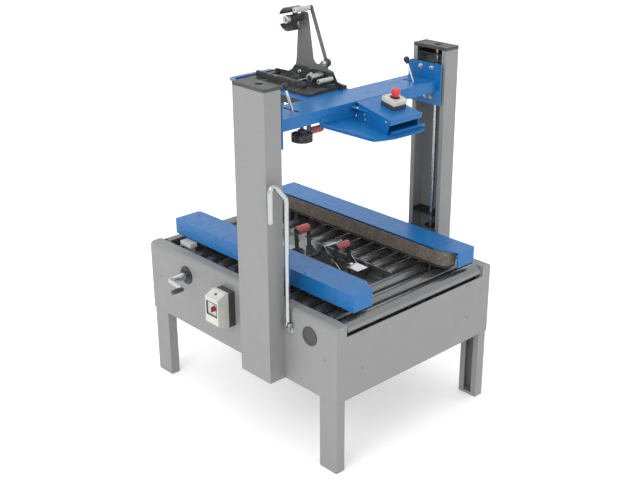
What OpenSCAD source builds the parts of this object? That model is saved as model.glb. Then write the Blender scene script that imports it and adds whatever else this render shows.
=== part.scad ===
// Semi-automatic carton sealer: two side belts carry a carton over a roller bed,
// between a fixed lower taping head and an upper taping head that is set to the carton's height.
// +Y is the direction in which cartons travel, +X is to the right seen from the infeed, +Z is up.
// The origin is on the floor, under the middle of the machine's overall box.

/* [Frame] */
// Length of the frame along the carton's path
frame_len = 1020; // [1010:1:1060]
// Width of the frame over the side panels
frame_w = 774; // [770:1:800]
// Height of the side panels' top edge above the floor
deck_z = 545; // [540:1:580]
// Height of the panels' lower edge above the floor
skirt_z = 271; // [240:1:290]
// Thickness of the sheet metal
sheet = 3; // [2.5:0.5:3]

/* [Legs and columns] */
// Leg section across the machine
leg_w = 38; // [34:1:42]
// Leg section along the machine
leg_d = 80; // [70:1:84]
// Column section across the machine
column_w = 67; // [64:1:76]
// Column section along the machine
column_d = 152; // [146:1:160]
// Height of the columns without their caps
column_top = 1276; // [1270:1:1320]

/* [Roller bed] */
// Diameter of the bed rollers
roller_d = 50; // [46:1:50]
// Distance from one bed roller to the next
roller_pitch = 64.5; // [64:0.5:65]

/* [Side belts] */
// Distance from the machine's centre to the face of each belt
belt_x = 178; // [174:1:190]
// Height of the belts
belt_h = 50; // [44:1:50]

/* [Upper head] */
// Height of the crossbeam's top face
beam_top = 1168; // [1140:1:1190]
// Forward slope of the handle box, in degrees
box_tilt = 12; // [8:1:14]

/* [Hidden] */

$fn = 64;
fit = 0.05;      // radial clearance of a running fit
eps = 0.5;       // how far a cutting tool runs past the face it cuts

grey_paint = "#a3a6a4";
blue_paint = "#3f78bd";
dark_paint = "#3c3d3f";
steel = "#b4b6b8";
chrome = "#dcdde0";
rubber = "#2b2b2c";
red_rubber = "#b8575a";

// Frame
half_w = frame_w / 2;
half_l = frame_len / 2;
edge_r = 18;                        // rounding of the panels' upper edge
member_w = 49;                      // width of the side members' top face
lip_h = 50;                         // depth of the side members' inner wall
lip_x = half_w - member_w;          // outer limit of the roller bed
notch_half = half_w - 43;           // half width of the end panels' notch
notch_z = deck_z - 42;
foot_h = 11;
anchor_r = 6.5;                     // hole for a floor anchor in each foot
leg_slot = 35;
leg_top = deck_z - 80;

// Columns
column_y = -183.5;
column_lip = 18;
cap_t = 11;
screw_x = half_w + 31;
screw_y = -195;
screw_r = 8;
bearing_z = 645;
column_reach = half_w + column_w + 1;

// Roller bed
roller_r = roller_d / 2;
journal_r = 6;
roller_end = lip_x - 4;
roller_z = deck_z + 3 - roller_r;
full_rows = 3;
split_rows = 10;
row_y0 = -half_l + 29;
far_row_y = half_l - 29;
rail_x = 62;
cross_z = [450, 494];               // lower and upper face of the cross members
cross_y = [-320, 255];

// Side belts
pulley_r = 40;
belt_t = 4;
pulley_x = belt_x + belt_t + pulley_r;
drive_y = 388;
idler_y = -425;
cover_top = deck_z + 85;
cover_bottom = deck_z + 26;
cover_in = belt_x + 9;
cover_out = belt_x + 123;
cover_near = -half_l + 11;
cover_far = half_l - 52;
cover_t = 2.5;
base_t = 6;
belt_z = cover_bottom + 4;
guide_z = 450;
guide_y = [row_y(1.5), 330];       // the infeed rod runs under a gap between two rollers
guide_r = 10;
screw_line = [286, 476];            // y and z of the width screw
crank_x = half_w + 72;
crank_y = -290;
grip_len = 48;
grip_reach = crank_x + grip_len;

// Upper head
beam_front = -233;
beam_back = -100;
beam_h = 40;
bracket_x = half_w - 9;
bracket_t = 6;
beam_end_x = bracket_x - bracket_t;
shelf_left = -145;                  // limits of the plate that the upper head stands on
shelf_right = 70;
shelf_far = 323;
corner_r = 40;
ring_t = 10;
box_left = -35;
box_right = 112;
box_len = 160;
box_h = 52;
estop_at = [60, -84];               // place on the sloped top of the handle box
estop_size = 64;
estop_base = 15;
estop_lid = 17;
lever_x = [-260, 307];              // left and right lock lever
lever_y = [-183, -193];
lever_z = beam_top - 28;
lever_lean = 25;
wheel_x = [-250, 198];               // left and right side wheel
wheel_y = -204;
wheel_z = beam_top - 97;
wheel_r = 35;

// Taping heads: positions in a head's own frame, front roller's axis at the origin,
// with the carton's face at press_z and the rollers on the carton's side of it
press_z = -65;
front_roller_r = 13;
rear_roller_r = 16;
tape_roller_half = 27;
rear_y = 215;
arm_pivot = [-50, -95];
plate_top = -84;
cutter_tip = [54, -13];
plate_x = 36;
plate_t = 4;
head_ends = [-75, 235];
bottom_head = [0, -139, deck_z + 68];
top_head = [0, 3, beam_top - 154];
reel_axis = [108, beam_top + 225];
guide_axis = [68, beam_top + 262];
brace_pivot = [-9, beam_top + 80];
tube_axis = [-1, beam_top + 37];
tension_axis = [-50, beam_top + 33];

// The crank reaches further out than the columns, so the machine is set off centre in X
centre_x = (grip_reach - column_reach) / 2;

function row_y(i) = row_y0 + roller_pitch * i;

// --- helpers ---------------------------------------------------------------------------------

// Everything is drawn about the machine's own centre plane and then set into the overall box
module placed() {
    translate([centre_x, 0, 0]) children();
}

module right_side() {
    mirror([1, 0, 0]) children();
}

// A cylinder along X, centred on x
module rod_x(x, at, r, len) {
    translate([x, at[0], at[1]]) rotate([0, 90, 0]) cylinder(r = r, h = len, center = true);
}

// A cylinder along Y, centred on y
module rod_y(y, at, r, len) {
    translate([at[0], y, at[1]]) rotate([90, 0, 0]) cylinder(r = r, h = len, center = true);
}

// A plate in a plane across X: its outline is drawn in Y and Z
module plate_yz(x, t) {
    translate([x, 0, 0]) rotate([90, 0, 90]) linear_extrude(height = t) children();
}

module box_between(low, high) {
    translate(low) cube(high - low);
}

// Flat bar from one point to another, with a slightly wider eye round each of them
module bar_2d(from, to, width) {
    run = to - from;
    translate(from) circle(d = width + 2);
    translate(to) circle(d = width + 2);
    translate(from) rotate(atan2(run[1], run[0])) translate([0, -width / 2]) square([norm(run), width]);
}

module rounded_square(width, depth, r) {
    translate([-width / 2 + r, -depth / 2]) square([width - 2 * r, depth]);
    translate([-width / 2, -depth / 2 + r]) square([width, depth - 2 * r]);
    for (sx = [-1, 1], sy = [-1, 1])
        translate([sx * (width / 2 - r), sy * (depth / 2 - r)]) circle(r);
}

module loop_2d(r) {
    translate([pulley_x, drive_y]) circle(r);
    translate([pulley_x, idler_y]) circle(r);
    translate([pulley_x - r, idler_y]) square([2 * r, drive_y - idler_y]);
}

// --- frame -----------------------------------------------------------------------------------

// Block with one rounded upper corner, for the side members' section
module edge_block(w, h, r) {
    square([w, h - r]);
    translate([r, 0]) square([w - r, h]);
    translate([r, h - r]) circle(r);
}

module side_panel() {
    color(grey_paint) difference() {
        rotate([90, 0, 0]) linear_extrude(height = frame_len - 2 * sheet, center = true) difference() {
            translate([-half_w, skirt_z]) edge_block(member_w, deck_z - skirt_z, edge_r);
            translate([-half_w + sheet, skirt_z - eps])
                edge_block(member_w - 2 * sheet, deck_z - skirt_z - sheet + eps, edge_r - sheet);
            translate([-lip_x - sheet - eps, skirt_z - eps])
                square([sheet + 2 * eps, deck_z - lip_h - skirt_z + eps]);
        }
        for (i = [0 : full_rows + split_rows - 1])
            rod_x(-lip_x, [row_y(i), roller_z], journal_r + fit, 3 * sheet);
        rod_x(-lip_x, [far_row_y, roller_z], journal_r + fit, 3 * sheet);
        rod_x(-half_w, screw_line, 10 + fit, 4 * sheet);
    }
}

// The sheet across an end, lower between the side members so that cartons pass over it
module end_panel() {
    color(grey_paint) rotate([90, 0, 0]) linear_extrude(height = sheet, center = true) difference() {
        union() {
            translate([-half_w, skirt_z]) edge_block(half_w, deck_z - skirt_z, edge_r);
            mirror([1, 0]) translate([-half_w, skirt_z]) edge_block(half_w, deck_z - skirt_z, edge_r);
        }
        translate([-notch_half, notch_z]) square([2 * notch_half, deck_z]);
    }
}

module infeed_end_panel() {
    translate([0, -half_l + sheet / 2, 0]) end_panel();
}

module outfeed_end_panel() {
    translate([0, half_l - sheet / 2, 0]) end_panel();
}

// Channel with its slot towards the machine's middle, closed by a foot at the floor
module leg() {
    difference() {
        translate([-leg_w / 2, -leg_d / 2, 0]) cube([leg_w, leg_d, leg_top]);
        translate([-leg_w / 2 + sheet, -leg_d / 2 + sheet, foot_h])
            cube([leg_w - 2 * sheet, leg_d - 2 * sheet, leg_top]);
        translate([0, -leg_slot / 2, foot_h]) cube([leg_w, leg_slot, leg_top]);
        translate([0, 0, -eps]) cylinder(r = anchor_r, h = foot_h + 2 * eps);
    }
}

module legs() {
    color(grey_paint) for (sx = [0, 1], sy = [0, 1])
        mirror([sx, 0, 0]) mirror([0, sy, 0])
            translate([-half_w + sheet + leg_w / 2, -half_l + sheet + leg_d / 2, 0]) leg();
}

// Channel with its slot towards the machine's middle, from the skirt to above the highest beam
module column() {
    color(grey_paint) translate([-half_w - column_w / 2, column_y, skirt_z]) difference() {
        translate([-column_w / 2, -column_d / 2, 0]) cube([column_w, column_d, column_top - skirt_z]);
        translate([-column_w / 2 + sheet, -column_d / 2 + sheet, -eps])
            cube([column_w - 2 * sheet, column_d - 2 * sheet, column_top]);
        translate([0, -column_d / 2 + column_lip, -eps])
            cube([column_w, column_d - 2 * column_lip, column_top]);
    }
}

module column_cap() {
    difference() {
        translate([-half_w - column_w / 2, column_y, column_top]) linear_extrude(height = cap_t)
            rounded_square(column_w + 2, column_d + 2, 3);
        translate([-screw_x, screw_y, column_top - eps]) cylinder(r = 13, h = cap_t + 2 * eps);
    }
}

module column_caps() {
    color(dark_paint) {
        column_cap();
        right_side() column_cap();
    }
}

// Cross members and the two rails that carry the rollers beside the lower head's opening
module bed_rails() {
    rail_len = row_y(full_rows + split_rows - 1) + 20 - (row_y(full_rows) - 20);
    color(steel) {
        for (y = cross_y)
            translate([-half_w + sheet, y - 5, cross_z[0]])
                cube([frame_w - 2 * sheet, 10, cross_z[1] - cross_z[0]]);
        for (side = [-1, 1]) difference() {
            translate([side * (rail_x + sheet / 2) - sheet / 2, row_y(full_rows) - 38, cross_z[1]])
                cube([sheet, rail_len + 24, deck_z - cross_z[1]]);
            for (i = [full_rows : full_rows + split_rows - 1])
                rod_x(side * rail_x, [row_y(i), roller_z], journal_r + fit, 4 * sheet);
        }
    }
}

module split_roller(y) {
    inner = rail_x + 2 * sheet;
    rod_x((inner + roller_end) / 2, [y, roller_z], roller_r, roller_end - inner);
    rod_x((rail_x + lip_x + sheet) / 2, [y, roller_z], journal_r, lip_x + sheet - rail_x);
}

module split_rollers() {
    color(steel) for (i = [full_rows : full_rows + split_rows - 1]) {
        split_roller(row_y(i));
        right_side() split_roller(row_y(i));
    }
}

module full_roller(y) {
    color(steel) {
        rod_x(0, [y, roller_z], roller_r, 2 * roller_end);
        rod_x(0, [y, roller_z], journal_r, 2 * (lip_x + sheet));
    }
}

// Rods that the belt carriages slide on, and the plates that hold the lead screws in the columns
module guide_rods() {
    color(steel) {
        for (y = guide_y)
            rod_x(0, [y, guide_z], guide_r, frame_w - 2 * sheet);
        for (side = [-1, 1], z = [bearing_z, column_top - 21]) difference() {
            translate([side * (half_w + column_w / 2), column_y, z]) linear_extrude(height = 4)
                square([column_w - 2 * sheet, column_d - 2 * sheet], center = true);
            translate([side * screw_x, screw_y, z - eps]) cylinder(r = screw_r + fit, h = 4 + 2 * eps);
        }
    }
}

// Screws of the end panels, the blanking plug, and the bearing flanges of both cranks
module frame_fittings() {
    color(steel) for (sx = [-1, 1], sy = [-1, 1], z = [deck_z - 54, deck_z - 181])
        rod_y(sy * (half_l + 1.25), [sx * 269, z], 5, 2.5);
    color(dark_paint) {
        difference() {
            rod_x(-half_w - 2, [-384, 476], 33, 4);
            rod_x(-half_w - 4, [-384, 476], 26, 2);
        }
        difference() {
            rod_x(-half_w - 2.5, screw_line, 34, 5);
            rod_x(-half_w - 2.5, screw_line, 10 + fit, 6);
        }
    }
    color(chrome) {
        rod_x(-half_w - 5, [-290, 466], 13, 10);
        translate([-half_w - 18, -303, 466]) cube([8, 26, 12]);
        for (y = [-303, -285.5])
            translate([-half_w - 18, y, 478]) cube([14, 8.5, 18]);
        rod_y(crank_y, crank_foot(), 4, 26);
    }
}

// --- switch ----------------------------------------------------------------------------------

switch_y = [4, 75];
switch_z = [374, 505];
switch_out = [29, 42, 77];          // base, cover's rim and cover's face, out from the panel
knob_at = [27, 455];

module switch_base() {
    color(dark_paint) box_between(
        [-half_w - switch_out[0], switch_y[0], switch_z[0]], [-half_w, switch_y[1], switch_z[1]]);
}

// The cover's top and bottom slope towards its face, which has a recess around the knob
module switch_cover() {
    profile = [
        [-switch_out[0], switch_z[0] - 2], [-switch_out[0], switch_z[1] + 3],
        [-switch_out[1], switch_z[1] + 3], [-switch_out[2], switch_z[1] - 14],
        [-switch_out[2], switch_z[0] + 19], [-switch_out[1], switch_z[0] - 2]];
    color("#cfcfc6") difference() {
        translate([-half_w, switch_y[1], 0]) rotate([90, 0, 0])
            linear_extrude(height = switch_y[1] - switch_y[0]) polygon(profile);
        box_between([-half_w - 90, 10, 424], [-half_w - switch_out[2] + 5, 68, 476]);
        rod_x(-half_w - switch_out[2] + 8, knob_at, 8 + fit, 12);
    }
}

module switch_knob() {
    face = -half_w - switch_out[2];
    color(red_rubber) {
        rod_x(face + 6, knob_at, 8, 8);
        rod_x(face - 1, knob_at, 13, 10);
        translate([face - 12, knob_at[0] - 3.5, knob_at[1] - 13]) cube([8, 7, 26]);
    }
}

// --- screws and cranks -----------------------------------------------------------------------

// Screw that lifts the crossbeam, with the sprocket of the drive that links both columns
module lead_screw() {
    color(chrome) translate([-screw_x, screw_y, 0]) {
        translate([0, 0, bearing_z - 65]) cylinder(r = screw_r, h = column_top - bearing_z + 63);
        translate([0, 0, bearing_z - 55]) cylinder(r = 24, h = 8);
    }
}

// Screw with a left-hand and a right-hand half that moves both carriages at once
module width_screw() {
    color(steel) rod_x((half_w + 4 - crank_x) / 2, screw_line, 10, half_w + 4 + crank_x);
}

crank_end = screw_line + [-74, -8];
function crank_foot() = [-half_w - 11, 490];

module width_crank() {
    color(chrome) difference() {
        plate_yz(-crank_x - 6, 6) bar_2d(screw_line, crank_end, 15);
        rod_x(-crank_x - 3, crank_end, 4 + fit, 8);
    }
}

module width_crank_grip() {
    color(rubber) {
        rod_x(-crank_x - 6 - grip_len / 2 + 3, crank_end, 9.5, grip_len - 6);
        rod_x(-crank_x - 4, crank_end, 4, 12);
    }
}

// Stretch of tube between two points in a plane across Y
module tube_between(from, to) {
    run = to - from;
    translate([from[0], crank_y, from[1]]) rotate([0, 90 - atan2(run[1], run[0]), 0])
        cylinder(r = tube_r, h = norm(run), $fn = 12);
}

tube_r = 8.2;

// Bent tube that drives the lead screws; it stands upright beside the column when it isn't used
module height_crank() {
    foot = crank_foot();
    bends = [foot + [0, 9.5], foot + [0, 430], foot + [-8, 449], foot + [-43, 489],
             foot + [-54, 493], foot + [-63, 487], foot + [-66, 475], foot + [-66, 374]];
    color(chrome) {
        difference() {
            rod_y(crank_y, foot, 10.6, 7.5);
            rod_y(crank_y, foot, 4 + fit, 20);
        }
        for (i = [0 : len(bends) - 2])
            tube_between(bends[i], bends[i + 1]);
        for (i = [1 : len(bends) - 2])
            translate([bends[i][0], crank_y, bends[i][1]]) rotate([90, 0, 15]) sphere(tube_r + 0.7, $fn = 12);
    }
}

// --- side belts (drawn at +X, and mirrored for the left side) --------------------------------

module cover_outline(grow) {
    polygon([
        [cover_out + grow, cover_near - grow], [cover_out + grow, cover_far + grow],
        [cover_in + 10 - grow / 2, cover_far + grow], [cover_in - grow, cover_far - 10 + grow / 2],
        [cover_in - grow, cover_near + 66 - grow / 2], [cover_in + 28 - grow / 2, cover_near - grow]]);
}

// Sheet cover, open below and on the belt's side apart from a narrow lip
module belt_cover() {
    skirt = cover_top - cover_bottom;
    color(blue_paint) difference() {
        translate([0, 0, cover_bottom]) linear_extrude(height = skirt) cover_outline(0);
        translate([0, 0, cover_bottom - eps])
            linear_extrude(height = skirt - cover_t + eps) cover_outline(-cover_t);
        box_between([0, cover_near - eps, cover_bottom - eps],
                    [cover_in + 28, cover_far - 12, cover_top - 3.5]);
    }
}

// Base plate, belt backing, hangers with bores for the guide rods, nut, and gear motor
module belt_carriage() {
    plate_bottom = cover_bottom - base_t;
    hanger_x = [pulley_x - 25, pulley_x + 38];
    color(steel) difference() {
        union() {
            translate([0, 0, plate_bottom]) linear_extrude(height = base_t) {
                translate([pulley_x, idler_y]) circle(pulley_r + 2);
                translate([pulley_x - pulley_r - 2, idler_y])
                    square([2 * pulley_r + 34, cover_far - idler_y - 6]);
            }
            box_between([belt_x + 7, idler_y + 50, cover_bottom],
                        [belt_x + 13, drive_y - 50, belt_z + belt_h - 2]);
            box_between([hanger_x[0], guide_y[0] - 4, guide_z + 20],
                        [hanger_x[1], guide_y[0] + 4, plate_bottom]);
            box_between([hanger_x[0], guide_y[0] - 18, guide_z - 18],
                        [hanger_x[1], guide_y[0] + 18, guide_z + 20]);
            box_between([hanger_x[0], guide_y[1] - 8, guide_z + 20],
                        [hanger_x[1], guide_y[1] + 14, plate_bottom]);
            box_between([hanger_x[0], guide_y[1] - 56, guide_z - 18],
                        [hanger_x[1], guide_y[1] + 18, guide_z + 42]);
            box_between([pulley_x - 42, drive_y - 42, plate_bottom - 55],
                        [pulley_x + 38, drive_y + 42, plate_bottom]);
            translate([pulley_x, idler_y, plate_bottom]) cylinder(r = 8, h = belt_h + base_t + 3);
        }
        rod_x(pulley_x, [guide_y[0], guide_z], guide_r + fit, 120);
        rod_x(pulley_x, [guide_y[1], guide_z], guide_r + fit, 120);
        rod_x(pulley_x, screw_line, 10 + fit, 120);
        translate([pulley_x, drive_y, plate_bottom - 40]) cylinder(r = 10 + fit, h = 100);
    }
    color(dark_paint) translate([pulley_x, drive_y, plate_bottom - 215]) cylinder(r = 38, h = 160);
}

module side_belt() {
    color("#6b6157") translate([0, 0, belt_z]) linear_extrude(height = belt_h) difference() {
        loop_2d(pulley_r + belt_t);
        loop_2d(pulley_r + 0.1);
    }
}

module drive_pulley() {
    color(steel) translate([pulley_x, drive_y, 0]) {
        translate([0, 0, cover_bottom + 2]) cylinder(r = pulley_r, h = belt_h + 3);
        translate([0, 0, cover_bottom - 40]) cylinder(r = 10, h = 60);
    }
}

module idler_pulley() {
    color(steel) translate([pulley_x, idler_y, cover_bottom + 2]) difference() {
        cylinder(r = pulley_r, h = belt_h + 3);
        translate([0, 0, -eps]) cylinder(r = 8 + fit, h = belt_h + 5);
    }
}

// --- upper head ------------------------------------------------------------------------------

// End plate with its far upper corner cut off
module beam_end() {
    color(blue_paint) plate_yz(-bracket_x, bracket_t) polygon([
        [-252, beam_top - 89], [-98, beam_top - 89], [-98, beam_top + 50],
        [-108, beam_top + 60], [-252, beam_top + 60]]);
}

// Block on the lead screw, inside the column
module nut_block() {
    color(dark_paint) difference() {
        union() {
            box_between([-half_w - 5, -235, beam_top - 48], [-bracket_x, -132, beam_top + 42]);
            box_between([-half_w - column_w + 6, -250, beam_top - 48], [-half_w - 5, -117, beam_top + 42]);
        }
        translate([-screw_x, screw_y, beam_top - 50]) cylinder(r = screw_r + fit, h = 100);
    }
}

// Stud under the beam that holds a side wheel, with the collar that clamps it
module wheel_stud(x) {
    color(dark_paint) translate([x, wheel_y, 0]) {
        translate([0, 0, wheel_z + 3]) cylinder(r = 6, h = beam_top - 4 - wheel_z - 3);
        translate([0, 0, wheel_z + 27]) cylinder(r = 14, h = 10);
    }
}

// Two cheeks under the beam's top face, and the pin between them
module lever_clevis(x, y) {
    for (side = [-1, 1])
        color(dark_paint) box_between(
            [x + side * 8.5 - 3, y - 9, lever_z - 9], [x + side * 8.5 + 3, y + 9, beam_top - 4]);
    color(steel) rod_x(x, [y, lever_z], 4, 22);
}

// Plate behind the beam that the upper head stands on, with the ribs below it
module head_shelf() {
    color(blue_paint) translate([0, 0, beam_top - 4]) linear_extrude(height = 4) difference() {
        union() {
            translate([shelf_left, beam_back - sheet])
                square([shelf_right - shelf_left, shelf_far - corner_r - beam_back + sheet]);
            translate([shelf_left + corner_r, shelf_far - corner_r - 1])
                square([shelf_right - shelf_left - corner_r, corner_r + 1]);
            translate([shelf_left + corner_r, shelf_far - corner_r]) circle(corner_r);
        }
        translate([-plate_x - plate_t - 1, top_head[1] + head_ends[0] - 1])
            square([2 * (plate_x + plate_t + 1), head_ends[1] - head_ends[0] + 2]);
    }
    for (x = [-62, 44])
        color(blue_paint)
            box_between([x, beam_back - 1, beam_top - 28], [x + 18, shelf_far - 60, beam_top - 3]);
}

// Folded channel with a slot for each lock lever
module crossbeam() {
    color(blue_paint) difference() {
        box_between([-beam_end_x, beam_front, beam_top - beam_h], [beam_end_x, beam_back, beam_top]);
        box_between([-beam_end_x - eps, beam_front + sheet, beam_top - beam_h - eps],
                    [beam_end_x + eps, beam_back - sheet, beam_top - 4]);
        for (i = [0, 1])
            box_between([lever_x[i] - 6, lever_y[i] - 17, beam_top - 5],
                        [lever_x[i] + 6, lever_y[i] + 61, beam_top + 1]);
    }
    for (side = [0, 1]) mirror([side, 0, 0]) {
        beam_end();
        nut_block();
    }
    head_shelf();
    for (i = [0, 1]) {
        wheel_stud(wheel_x[i]);
        lever_clevis(lever_x[i], lever_y[i]);
    }
    color(dark_paint) for (x = [box_left + sheet, box_right - sheet - 12])
        box_between([x, beam_front - 29, beam_top - 45], [x + 12, beam_front, beam_top - 15]);
}

// Sets its children on the sloped top face of the handle box
module on_box() {
    translate([0, beam_front, beam_top]) rotate([box_tilt, 0, 0]) children();
}

// Folded box in front of the beam: its floor spreads to the left, its front is a slot for the hands
module handle_box() {
    floor_outline = [[-196, -12], [-111, -173], [-82, -182], [-31, -192], [32, -195],
                     [112, -193], [134, -173], [112, -160], [112, -12]];
    color(blue_paint)
        box_between([-196, beam_front - sheet, beam_top - 57],
                    [box_left, beam_front, beam_top - beam_h + 14]);
    color(blue_paint) on_box() {
        box_between([box_left, -box_len, -sheet], [box_right, -3, 0]);
        box_between([box_left, -box_len, -box_h], [box_left + sheet, -14, -sheet]);
        box_between([box_right - sheet, -box_len, -box_h], [box_right, -14, -sheet]);
        translate([0, 0, -box_h - sheet]) linear_extrude(height = sheet) polygon(floor_outline);
        box_between([box_left, -box_len - 6, -18], [box_right + 5, -box_len, 0]);
        box_between([box_left + 8, -box_len - 14, -box_h], [box_right + 20, -box_len - 8, -box_h + 12]);
        translate([0, 0, -box_h]) linear_extrude(height = 9)
            polygon([[-190, -14], [-108, -167], [-104, -167], [-186, -14]]);
    }
}

module estop_box() {
    on_box() translate([estop_at[0], estop_at[1], 0]) {
        color(dark_paint) linear_extrude(height = estop_base) rounded_square(estop_size, estop_size, 7);
        color("#cfcfc6") translate([0, 0, estop_base]) linear_extrude(height = estop_lid) difference() {
            rounded_square(estop_size, estop_size, 7);
            circle(9 + fit);
        }
    }
}

module estop_button() {
    on_box() translate([estop_at[0], estop_at[1], 0]) {
        color(dark_paint) translate([0, 0, estop_base + 6]) cylinder(r = 9, h = 18);
        color("#d23540") translate([0, 0, estop_base + estop_lid + 8]) rotate_extrude()
            polygon([[0, -2], [12, -2], [12, 4], [16, 6], [16, 18], [13, 22], [0, 23]]);
    }
}

module lock_lever(i) {
    translate([lever_x[i], lever_y[i], lever_z]) rotate([-lever_lean, 0, 0]) {
        color(steel) {
            difference() {
                rotate([0, 90, 0]) cylinder(r = 9, h = 10, center = true);
                rotate([0, 90, 0]) cylinder(r = 4 + fit, h = 12, center = true);
            }
            translate([0, 0, 7]) cylinder(r = 4, h = 100);
        }
        color(rubber) translate([0, 0, 112]) sphere(11);
    }
}

module press_wheel(x) {
    color(rubber) translate([x, wheel_y, wheel_z]) difference() {
        cylinder(r = wheel_r, h = 25);
        translate([0, 0, 3 - fit]) cylinder(r = 6 + fit, h = 25);
    }
}

// --- taping heads, in a head's own frame -----------------------------------------------------

module tape_roller(y, r) {
    color(red_rubber) difference() {
        rod_x(0, [y, 0], r, 2 * tape_roller_half);
        rod_x(0, [y, 0], 4 + fit, 2 * tape_roller_half + 2);
    }
}

// Two cheeks on a hub, with the roller's axle across their ends
module tape_arm(y) {
    pivot = [y, 0] + arm_pivot;
    color(rubber) difference() {
        union() {
            for (x = [-tape_roller_half - 6, tape_roller_half + 2]) plate_yz(x, 4) {
                bar_2d([y, 0], [y - 4, -72], 19);
                bar_2d([y - 4, -72], pivot, 19);
                translate([y, 0]) circle(11);
            }
            rod_x(0, pivot, 9, 2 * tape_roller_half + 6);
        }
        rod_x(0, pivot, 5 + fit, 100);
    }
    color(steel) rod_x(0, [y, 0], 4, 2 * tape_roller_half + 12);
}

// Side plates of a head, down to the given depth
module head_plates(depth) {
    for (x = [-plate_x - plate_t, plate_x])
        box_between([x, head_ends[0], -depth], [x + plate_t, head_ends[1], plate_top]);
}

// Pivots of the arms, the first one also the cutter's, and the spacers between the plates
module head_pins() {
    color(steel) {
        rod_x(0, arm_pivot, 5, 2 * plate_x + 18);
        rod_x(0, [rear_y, 0] + arm_pivot, 5, 2 * plate_x + 4);
        for (y = [head_ends[0] + 12, head_ends[1] - 12])
            rod_x(0, [y, -130], 6, 2 * plate_x + 4);
    }
}

// Two cheeks outside the plates, with the blade's guard across their ends
module cutter() {
    color(chrome) {
        difference() {
            for (x = [-plate_x - 8, plate_x + 5])
                plate_yz(x, 3) bar_2d(arm_pivot, cutter_tip, 12);
            rod_x(0, arm_pivot, 5 + fit, 100);
        }
        rod_x(0, cutter_tip, 3, 2 * plate_x + 12);
        translate([-22, cutter_tip[0] - 7, cutter_tip[1] - 2]) cube([44, 13, 4]);
    }
}

module as_bottom() {
    translate(bottom_head) children();
}

// The upper head is the lower one turned over
module as_top() {
    translate(top_head) mirror([0, 0, 1]) children();
}

module bottom_head_chassis() {
    as_bottom() {
        color(dark_paint) head_plates(176);
        head_pins();
        color(dark_paint) for (side = [-1, 1], y = [-50, 190])
            translate([side * (rail_x + plate_x + plate_t) / 2, y, -116]) linear_extrude(height = 6)
                square([rail_x - plate_x - plate_t, 25], center = true);
    }
    // Polished lead-in plate ahead of the first roller, on a foot between the side plates
    color(chrome) {
        box_between([-45, -262, deck_z + 14], [5, -207, deck_z + 17]);
        box_between([-40, -215, deck_z - 85], [-36, -207, deck_z + 14]);
    }
    // Arm and spindle for the tape roll below the head
    color(dark_paint) plate_yz(plate_x + plate_t, 4) bar_2d([-60, 470], [-110, 350], 30);
    color(steel) rod_x(4, [-110, 350], 13, 72);
}

// Mounting ring, side plates, left rail, and the fixed axles of the tape path's rollers
module top_head_chassis() {
    ring = [top_head[1] - 88, top_head[1] + 247];
    color(dark_paint) {
        as_top() head_plates(beam_top + ring_t - top_head[2]);
        difference() {
            box_between([-112, ring[0], beam_top], [70, ring[1], beam_top + ring_t]);
            box_between([-plate_x - plate_t, ring[0] + 45, beam_top - 1],
                        [plate_x + plate_t, ring[1] - 20, beam_top + 20]);
        }
        box_between([-72, 0, beam_top + 5], [-60, 235, beam_top + 31]);
        rod_x(-66, [-2, beam_top + 16], 14, 20);
        box_between([-15, ring[0], beam_top + 5], [15, ring[0] + 12, beam_top + 24]);
        plate_yz(plate_x, plate_t) polygon([
            [-98, beam_top + 2], [-98, beam_top + 18], [-69, beam_top + 25], [-53, beam_top + 50],
            [148, beam_top + 50], [160, beam_top + 34], [182, beam_top + 21], [256, beam_top + 19],
            [256, beam_top + 2], [238, beam_top + 2], [238, beam_top - 12], [-72, beam_top - 12],
            [-72, beam_top + 2]]);
    }
    as_top() head_pins();
    color(steel) {
        rod_x(2, tube_axis, 3.5, 72);
        rod_x(2, tension_axis, 3.5, 72);
        for (at = [[14, beam_top + 18], [34, beam_top + 23]])
            rod_x(-12, at, 3.5, 96);
    }
}

// Upright that carries the tape reel, with the strap that carries the guide roller
module reel_arm() {
    foot = beam_top + ring_t;
    fold = beam_top + 55;
    color("#6b6b6b") {
        plate_yz(plate_x + plate_t, 4) difference() {
            union() {
                polygon([[-48, foot], [150, foot], [148, fold - 10], [142, beam_top + 69],
                         [132, beam_top + 187], [126, beam_top + 228], [112, beam_top + 244],
                         [84, beam_top + 244], [80, beam_top + 236], [55, beam_top + 83],
                         [brace_pivot[0], beam_top + 84], [-20, beam_top + 60], [-48, fold]]);
                translate(brace_pivot) circle(12);
            }
            translate([33, beam_top + 92]) circle(22);
        }
        plate_yz(plate_x + plate_t + 4, 4) bar_2d(brace_pivot, guide_axis, 15);
        rod_x(plate_x + plate_t + 12, brace_pivot, 13, 8);
    }
    color(steel) {
        rod_x(7, guide_axis, 4, 82);
        rod_x(5, reel_axis, 6, 86);
    }
}

// Hub with two leaves that grip the core of the tape
module tape_mandrel() {
    color("#77787a") difference() {
        rod_x(-4, reel_axis, 14, 68);
        rod_x(-4, reel_axis, 6 + fit, 90);
    }
    color(dark_paint) translate([-34, reel_axis[0], reel_axis[1]]) rotate([90, 0, 90]) {
        linear_extrude(height = 60) difference() {
            circle(41);
            circle(38);
            polygon([[0, 0], [60, 22], [60, -34]]);
            polygon([[0, 0], [-12, -60], [-60, -60], [-60, 60], [-30, 60]]);
        }
        translate([0, 0, 30]) linear_extrude(height = 20) difference() {
            square([6, 77], center = true);
            circle(13);
        }
    }
}

module plain_roller(at, r, bore, half, tone) {
    color(tone) difference() {
        rod_x(0, at, r, 2 * half);
        rod_x(0, at, bore + fit, 2 * half + 2);
    }
}

// Tube on the axle, with a wider open ring at its outer end
module tube_roller() {
    color(steel) difference() {
        union() {
            rod_x(0, tube_axis, 12, 60);
            rod_x(-28, tube_axis, 16, 4);
        }
        rod_x(-25, tube_axis, 9, 20);
        rod_x(0, tube_axis, 3.5 + fit, 70);
    }
}

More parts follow.
